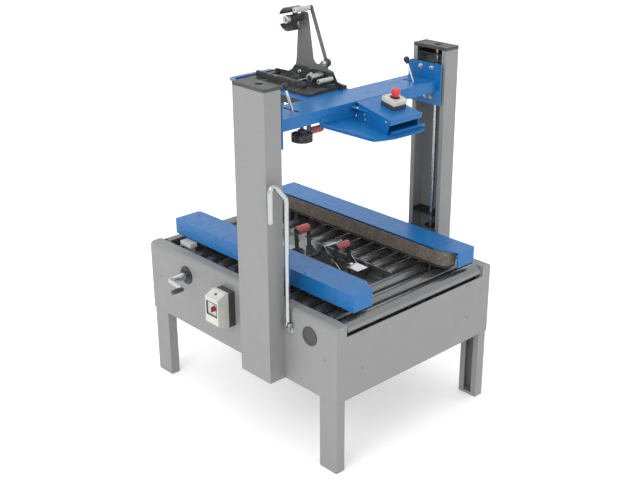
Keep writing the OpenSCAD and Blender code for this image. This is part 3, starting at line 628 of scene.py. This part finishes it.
def build_belt(side, unit, name):
    """Belt with a rib every few millimetres on its outside, smooth on its inside."""
    length = 2 * (BELT_ENDS[1] - BELT_ENDS[0] + math.pi * BELT_BEND)
    ribs = 236
    samples = []
    for rib in range(ribs):
        for share, depth in ((0.0, 1.3), (0.12, 0), (0.62, 0), (0.74, 1.3)):
            samples.append(((rib + share) * length / ribs, depth))
    bm = bmesh.new()
    rings = []
    for offset, depth in samples:
        corners = ((44 - depth, 0), (44 - depth, 50), (40.2, 50), (40.2, 0))
        ring = []
        for radius, height in corners:
            point = belt_point(radius, offset)
            ring.append(bm.verts.new(at(side * (BELT_X + point.x), point.y, BELT_BOTTOM + height)))
        rings.append(ring)
    for first, second in zip(rings, rings[1:] + rings[:1]):
        for i in range(4):
            j = (i + 1) % 4
            bm.faces.new([first[i], first[j], second[j], second[i]])
    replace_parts(finished(f"{name}_ribbed", bm, BELT, unit, smooth=30), name)


def build_belt_unit_details(side, unit):
    """Cover screws, the seam of its end cap, base-plate bolts and the pad it slides on."""
    top_places = ((290, -257), (218, -259), (290, 180), (218, 180), (290, 420), (218, 420))
    tops = [(side * x, y, COVER_TOP) for x, y in top_places]
    screw_row(f"{unit}_cover_screws", tops, Z, unit, BLUE, 3)
    edge = [(side * 301, y, 600) for y in (-470, -360, 0, 430)]
    screw_row(f"{unit}_side_screws", edge, side * X, unit, BLUE, 3)
    seam = bmesh.new()
    add_box(seam, (side * 189, -414.4, COVER_TOP - 0.4), (side * 301.2, -413.6, COVER_TOP + 0.2))
    add_box(seam, (side * 300.6, -414.4, 571), (side * 301.2, -413.6, COVER_TOP + 0.2))
    finished(f"{unit}_cover_seam", seam, BLACKENED, unit, bevel=0.15)
    pad = bmesh.new()
    add_box(pad, (side * 296, 335, 548), (side * 328, 398, 564.9))
    finished(f"{unit}_slide_pad", pad, WHITE_PLASTIC, unit, bevel=1.0)
    bolts = [(side * x, y, 565) for x, y in ((200, -386), (246, -386), (200, 0), (246, 0))]
    bolt_row(f"{unit}_base_bolts", bolts, -Z, unit, radius=5)


# --- crossbeam ---------------------------------------------------------------------------------


def build_lock_lever(x, y, name):
    """Steel rod with a ball knob, on a hub that turns on the clevis pin."""
    pivot = at(x, y, LEVER_Z)
    lean = math.radians(25)
    along = Vector((0, math.sin(lean), math.cos(lean)))
    rod = bmesh.new()
    add_lathe(rod, aimed(pivot, along), [(3, 6), (4, 8), (4, 98), (3, 101), (0, 101)], 24)
    add_lathe(rod, aimed(pivot - 0.005 * X, X),
              [(4.1, 0), (8, 0), (9, 1), (9, 9), (8, 10), (4.1, 10), (4.1, 0)], 32)
    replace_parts(finished(f"{name}_rod", rod, SCREW, name), name)
    knob = bmesh.new()
    ball = arc((0, 112), 11, -50, 80, 13)
    add_lathe(knob, aimed(pivot, along), [(4.2, 97), (6.4, 97), (6.4, 101)] + ball + [(0, 123)], 32)
    finished(f"{name}_knob", knob, BLACK_PLASTIC, name)


def build_press_wheel(x, name):
    """Ribbed rubber tyre on a nylon hub."""
    place = Matrix.Translation(at(x, -204, BEAM_TOP - 97))
    outline = []
    for rib in range(40):
        for share, radius in ((0.0, 35), (0.55, 35), (0.62, 33.8), (0.93, 33.8)):
            turn = 2 * math.pi * (rib + share) / 40
            outline.append((radius * math.cos(turn), radius * math.sin(turn)))
    tyre = bmesh.new()
    add_prism(tyre, place, outline, 25)
    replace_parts(finished(f"{name}_tyre", tyre, BLACK_RUBBER, name, smooth=30, bevel=0.4),
                name)
    hub = bmesh.new()
    add_lathe(hub, place, [(0, -1.2), (13, -1.2), (14, -0.4), (14, 0.5)], 32)
    add_lathe(hub, place, [(6.2, 25), (19, 25), (18, 26.4), (6.2, 26.8)], 32)
    finished(f"{name}_hub", hub, DARK_PLASTIC, name)


def build_beam_bolts():
    """Bolts and nuts of the end plates, and the nuts of the lock levers' pins."""
    for side, tag in SIDES:
        face = side * (HALF_W - 15)
        upper = [(face, y, BEAM_TOP + 44) for y in (-157, -208)]
        bolt_row(f"{tag}_end_bolts", upper, -side * X, "top_head", SCREW, 6.5)
        lower = [(face, y, BEAM_TOP - 62) for y in (-132, -157, -182, -208)]
        bolt_row(f"{tag}_end_nuts", lower, -side * X, "top_head", STEEL, 5.5)
    pivots = bmesh.new()
    for x, y, _ in LEVERS:
        for side in (-1, 1):
            add_hex_bolt(pivots, at(x + side * 11.5, y, LEVER_Z), side * X, 5, 3.4)
    finished("lever_pin_nuts", pivots, STEEL, "top_head")


def slope_frame(x, y, z):
    """The sloped top face's own frame, with its origin at a point on it."""
    tilted = Matrix.Translation(at(0, BEAM_FRONT, BEAM_TOP)) @ Matrix.Rotation(BOX_TILT, 4, "X")
    return tilted @ Matrix.Translation(Vector((x, y, z)) / 1000)


def rounded_outline(half, radius):
    """A square with rounded corners, given half its width."""
    points = []
    for turn, (sx, sy) in zip((0, 90, 180, 270), ((1, 1), (-1, 1), (-1, -1), (1, -1))):
        points += arc((sx * (half - radius), sy * (half - radius)), radius, turn, turn + 90, 5)
    return points


def build_estop():
    """Two-part box with its lid's screws, and the mushroom button on its collar."""
    place = slope_frame(60, -84, 0)
    base = bmesh.new()
    add_prism(base, place, rounded_outline(32, 7), 14.6)
    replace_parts(finished("estop_base", base, DARK_PLASTIC, "top_head", bevel=1.0),
                "estop_box")
    lid = bmesh.new()
    add_prism(lid, place @ Matrix.Translation((0, 0, 0.015)), rounded_outline(32, 7), 17)
    finished("estop_lid", lid, CREAM, "top_head", bevel=2.2)
    screws = bmesh.new()
    for sx in (-1, 1):
        for sy in (-1, 1):
            corner = place @ Vector((sx * 0.025, sy * 0.025, 0.032))
            add_cap_screw(screws, corner, place.to_3x3() @ Z, 2.4, 1.4)
    finished("estop_screws", screws, STEEL, "top_head")
    collar = bmesh.new()
    add_lathe(collar, place, [(9.1, 31.8), (17, 31.8), (17, 33.4), (15.5, 35), (9.1, 35), (9.1, 31.8)])
    finished("estop_collar", collar, BLACK_PLASTIC, "top_head")
    button = bmesh.new()
    add_lathe(button, place, [(0, 19), (9, 19), (9, 38), (12.5, 38.5), (12.5, 44), (15.4, 45.6),
                              (16, 47.5), (15.6, 56), (13.6, 60.4), (9, 62.4), (0, 63)])
    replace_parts(finished("estop_mushroom", button, RED_PLASTIC, "estop_button"),
                "estop_button")


def build_handle_box_details():
    """Screws, the corner tab towards the beam, the gasket, and the rolled edges of the folded sheet."""
    tab = bmesh.new()
    add_prism(tab, slope_frame(0, 0, -14), [(-35.5, -3), (-62, -3), (-60, -12), (-35.5, -64)], 3)
    finished("handle_box_tab", tab, BLUE, "top_head", bevel=0.8)
    screws = bmesh.new()
    tilt = Matrix.Rotation(BOX_TILT, 3, "X")
    add_cap_screw(screws, on_slope(-46, -24, -11), tilt @ Z, 3.6, 2.4)
    for y, z in ((-49, -26), (-55, -44), (-146, -12)):
        add_cap_screw(screws, on_slope(-35, y, z), -X, 3.6, 2.4)
        add_cap_screw(screws, on_slope(112, y, z), X, 3.6, 2.4)
    finished("handle_box_screws", screws, SCREW, "top_head")
    gap = bmesh.new()
    add_prism(gap, slope_frame(0, 0, -2.9), [(-34.9, -3), (111.9, -3), (111.9, 0.2), (-34.9, 0.2)], 2.2)
    finished("handle_box_gasket", gap, BLACK_RUBBER, "top_head", bevel=0.2)
    for name, y, z, start, end in (("upper", -166, -2, -35, 117), ("lower", -174, -41, -27, 132)):
        points = [on_slope(x, y, z) for x in (start, (start + end) / 2, end)]
        tube(f"handle_box_{name}_roll", points, 2.2, BLUE, "top_head")


# --- taping heads ------------------------------------------------------------------------------


def coil(start, end, radius, turns, steps=14):
    """Points of a helix between two points."""
    axis = (end - start).normalized()
    across = axis.orthogonal().normalized()
    other = axis.cross(across)
    points = []
    for i in range(turns * steps + 1):
        turn = 2 * math.pi * i / steps
        along = start.lerp(end, i / (turns * steps))
        points.append(along + (across * math.cos(turn) + other * math.sin(turn)) * radius / 1000)
    return points


def build_head_details(tag, base, up, body):
    """Pivot nuts, the spring that pulls the arms back, and its posts; up is -1 for the upper head."""
    base_y, base_z = base

    def head(x, y, z):
        return at(x, base_y + y, base_z + up * z)

    nuts = bmesh.new()
    for y in (-50, 165):
        for side in (-1, 1):
            add_hex_bolt(nuts, head(side * 40, y, -95), side * X, 7, 5.5)
    for y in (-63, 223):
        for side in (-1, 1):
            add_hex_bolt(nuts, head(side * 40, y, -130), side * X, 6, 4.5)
    finished(f"{tag}_head_nuts", nuts, STEEL, body)
    spring = coil(head(-30, -20, -128), head(-30, 120, -128), 5, 34)
    tube(f"{tag}_arm_spring", spring, 0.9, STEEL, body)
    posts = bmesh.new()
    for y in (-24, 124):
        add_lathe(posts, aimed(head(-36.2, y, -128), X),
                  [(0, 0), (3, 0), (3, 3), (2.2, 3.4), (2.2, 10), (3, 10.4), (3, 12), (0, 12)], 20)
    finished(f"{tag}_spring_posts", posts, BLACKENED, body)


def build_roller_faces(tag, base):
    """Pale end caps on the ends of the tape rollers."""
    for end, y in (("front", 0), ("rear", ROLLER_GAP)):
        name = f"{tag}_{end}_roller"
        caps = bmesh.new()
        for side in (-1, 1):
            add_lathe(caps, aimed(at(side * 27, base[0] + y, base[1]), side * X),
                      [(4.1, 0), (11, 0), (10.4, 0.7), (6, 1.0), (4.1, 1.0), (4.1, 0)], 32)
        finished(f"{name}_caps", caps, STEEL, name)


def build_cutter_blade(tag, base, up):
    """Toothed blade along the front of the guard."""
    teeth = []
    for i in range(20):
        teeth += [(-21 + 2.1 * i, 4), (-19.95 + 2.1 * i, 6.4)]
    outline = [(-21, 0)] + teeth + [(21, 4), (21, 0)]
    place = Matrix.Translation(at(0, base[0] + 50, base[1] + up * -13 - 0.4))
    bm = bmesh.new()
    add_prism(bm, place, outline, 0.8)
    finished(f"{tag}_cutter_blade", bm, SCREW, f"{tag}_cutter")


def build_lead_in():
    """Polished plate ahead of the lower head with its curl, the guard below it, and the panels' flanges,
    coloured dark as painted shade under the end rollers.
    """
    plate = bmesh.new()
    add_box(plate, (-46, -263, DECK + 17.1), (6, -206, DECK + 18.6))
    finished("lead_in_plate", plate, MIRROR, "frame", bevel=0.6)
    curl = bmesh.new()
    outer = arc((-223, DECK + 14), 22, 0, 150, 12)
    inner = arc((-223, DECK + 14), 20.4, 150, 0, 12)
    along_x = Matrix(((0, 0, 1, 0), (1, 0, 0, 0), (0, 1, 0, 0), (0, 0, 0, 1)))
    across = Matrix.Translation(at(-48, 0, 0)) @ along_x
    add_prism(curl, across, outer + inner, 14)
    finished("lead_in_curl", curl, MIRROR, "frame", bevel=0.3)
    guard = bmesh.new()
    add_box(guard, (-60, -328, DECK - 42), (60, -210, DECK - 40))
    add_box(guard, (-60, -211.5, DECK - 42), (-41, -210, DECK - 6))
    add_box(guard, (41, -211.5, DECK - 42), (60, -210, DECK - 6))
    finished("lower_head_guard", guard, DARK, "frame", bevel=0.4)
    # Painted shade: the return flanges are dark so the gap under the end rollers reads as shaded.
    for name, end in (("infeed", -1), ("outfeed", 1)):
        flange = bmesh.new()
        edges = sorted((end * (HALF_L - 3.1), end * (HALF_L - 40)))
        add_box(flange, (-HALF_W + 53, edges[0], DECK - 52), (HALF_W - 53, edges[1], DECK - 50))
        finished(f"{name}_panel_shade_flange", flange, DARK, "frame", bevel=0.4)


def rod_along_x(name, stops, y, z, radius, material):
    """Thin rod of the upper head through points on a line across the machine."""
    points = [at(x, y, z) for x in stops]
    tube(name, points, radius, material, "top_head")


def build_tape_path():
    """Mandrel's open ring and nut, the strap's disc and bolts, thin rods, and the ridged guide roller."""
    hub = bmesh.new()
    centre = at(-38, *REEL)
    add_lathe(hub, aimed(centre, -X), [(8, -3), (8, 3), (13, 3), (14.6, 1.5), (14.6, -10), (14.1, -10)])
    finished("mandrel_ring", hub, STEEL, "tape_mandrel")
    nut = bmesh.new()
    add_hex_bolt(nut, centre, -X, 6, 8)
    finished("mandrel_nut", nut, STEEL, "top_head")
    disc = bmesh.new()
    add_lathe(disc, aimed(at(47, -9, BEAM_TOP + 80), -X),
              [(0, 0), (16, 0), (16.5, 1), (16.5, 2.6), (15, 4), (0, 4)])
    finished("strap_disc", disc, BLACKENED, "top_head")
    strap_bolts = [(35.9, y, BEAM_TOP + z) for y, z in ((-9, 80), (60, 30), (120, 30))]
    bolt_row("strap_bolt", strap_bolts, -X, "top_head", SCREW, 6)
    for i, (y, z) in enumerate(((232, 19), (286, 2))):
        rod_along_x(f"tape_guide_rod_{i + 1}", (-125, -60, 36), y, BEAM_TOP + z, 2.6, BLACKENED)
    rod_along_x("tape_lead_rod", (-62, -40, 36), 31, BEAM_TOP + 27, 3, SCREW)
    grooves = bmesh.new()
    profile = [(4.1, -34)]
    for i in range(16):
        z = -33 + 4.2 * i
        profile += [(9.5, z), (9.5, z + 2.6), (8.6, z + 3.0), (8.6, z + 3.8)]
    profile += [(9.5, 34), (4.1, 34), (4.1, -34)]
    add_lathe(grooves, aimed(at(0, 68, BEAM_TOP + 262), X), profile, 36)
    ridged = finished("guide_roller_ridged", grooves, WHITE_PLASTIC, "reel_guide_roller",
                      smooth=30)
    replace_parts(ridged, "reel_guide_roller")


build_plug_and_flange()
build_width_crank()
build_crank_fork()
build_panel_screws()
build_height_crank()
for side, tag in SIDES:
    build_lead_screw(side, f"{tag}_lead_screw")
build_roller_ends()
build_switch_details()
for side, tag in SIDES:
    build_belt(side, f"{tag}_belt_unit", f"{tag}_belt")
for side, tag in SIDES:
    build_belt_unit_details(side, f"{tag}_belt_unit")
for x, y, name in LEVERS:
    build_lock_lever(x, y, name)
build_press_wheel(-250, "left_press_wheel")
build_press_wheel(198, "right_press_wheel")
build_beam_bolts()
build_estop()
build_handle_box_details()
build_head_details("top", TOP_HEAD, -1, "top_head")
build_head_details("bottom", BOTTOM_HEAD, 1, "frame")
build_roller_faces("top", TOP_HEAD)
build_roller_faces("bottom", BOTTOM_HEAD)
build_cutter_blade("top", TOP_HEAD, -1)
build_cutter_blade("bottom", BOTTOM_HEAD, 1)
build_tape_path()
build_lead_in()

# --- floor, light and camera -------------------------------------------------------------------

floor_mesh = bmesh.new()
add_lathe(floor_mesh, Matrix.Translation((0, 0, -0.0005)), [(0, 0), (20000, 0)], 96)
floor_data = bpy.data.meshes.new("floor")
floor_mesh.to_mesh(floor_data)
floor_mesh.free()
floor = bpy.data.objects.new("floor", floor_data)
bpy.context.scene.collection.objects.link(floor)
pale = Nodes("pale_floor")
pale.link(pale.mix(pale.noise(2.0), (0.90, 0.90, 0.90), (0.92, 0.92, 0.92)), pale.shader.inputs["Base Color"])
pale.set(Roughness=0.9, Emission_Color=(1, 1, 1, 1), Emission_Strength=0.3)
floor_data.materials.append(pale.material)

world = bpy.data.worlds.new("studio")
bpy.context.scene.world = world
world.use_nodes = True
sky = world.node_tree.nodes["Background"]
sky.inputs["Color"].default_value = (1, 1, 1, 1)
sky.inputs["Strength"].default_value = 1.02


def area_light(name, place, target, size, power):
    """Square light that faces a point, in metres and watts."""
    data = bpy.data.lights.new(name, "AREA")
    data.shape = "SQUARE"
    data.size = size
    data.energy = power
    light = bpy.data.objects.new(name, data)
    light.location = place
    light.rotation_euler = (Vector(target) - Vector(place)).to_track_quat("-Z", "Y").to_euler()
    bpy.context.scene.collection.objects.link(light)


area_light("key", (-4.6, -1.2, 4.0), (0, 0, 0.7), 2.8, 80)
area_light("top", (0.5, 0.5, 5.0), (0, 0, 0.7), 3.5, 22)

CAMERA_AT = (-2.458, -2.646, 2.080)
CAMERA_AIM = (0.012, -0.008, 0.590)
CAMERA_ROLL = -0.19
camera_data = bpy.data.cameras.new("camera")
camera_data.sensor_width = 36
camera_data.lens = 59.44
camera = bpy.data.objects.new("camera", camera_data)
camera.location = Vector(CAMERA_AT) + CENTRE_X * X
aim = Vector(CAMERA_AIM) + CENTRE_X * X
facing = (aim - camera.location).to_track_quat("-Z", "Y")
camera.rotation_euler = (facing @ Quaternion((0, 0, 1), math.radians(CAMERA_ROLL))).to_euler()
bpy.context.scene.collection.objects.link(camera)
bpy.context.scene.camera = camera
bpy.context.scene.view_settings.view_transform = "Standard"
